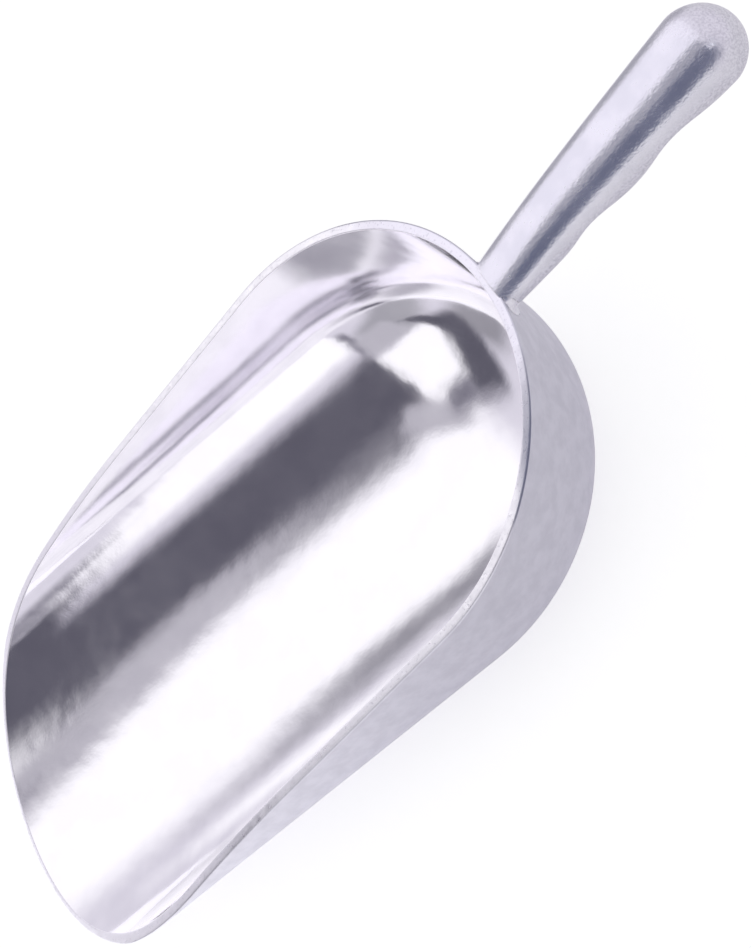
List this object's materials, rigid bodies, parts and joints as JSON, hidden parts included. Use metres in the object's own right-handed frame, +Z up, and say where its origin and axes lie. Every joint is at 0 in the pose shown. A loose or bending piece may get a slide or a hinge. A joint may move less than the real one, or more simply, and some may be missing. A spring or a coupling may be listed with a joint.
{
  "type": "ice scoop",
  "caption": "Cast-aluminium ice scoop: deep trough with a domed back, slanted rim and rounded lip, on a contoured hand grip.",
  "frame": {"origin": "on the flat resting land under the trough, straight below the centre of the domed back", "axes": "+X from the domed back to the lip, +Y to the left side wall, +Z up from the resting land"},
  "size_m": [0.3063, 0.1204, 0.0887],
  "materials": {
    "bowl_casting": "polished inside, tumbled satin outside",
    "grip_casting": "polished, finely scratched",
    "dressed_weld": "dressed and tumbled"
  },
  "bodies": {
    "root": {"bowl": "bowl_casting", "handle": "grip_casting", "weld_bead": "dressed_weld"}
  },
  "joints": []
}
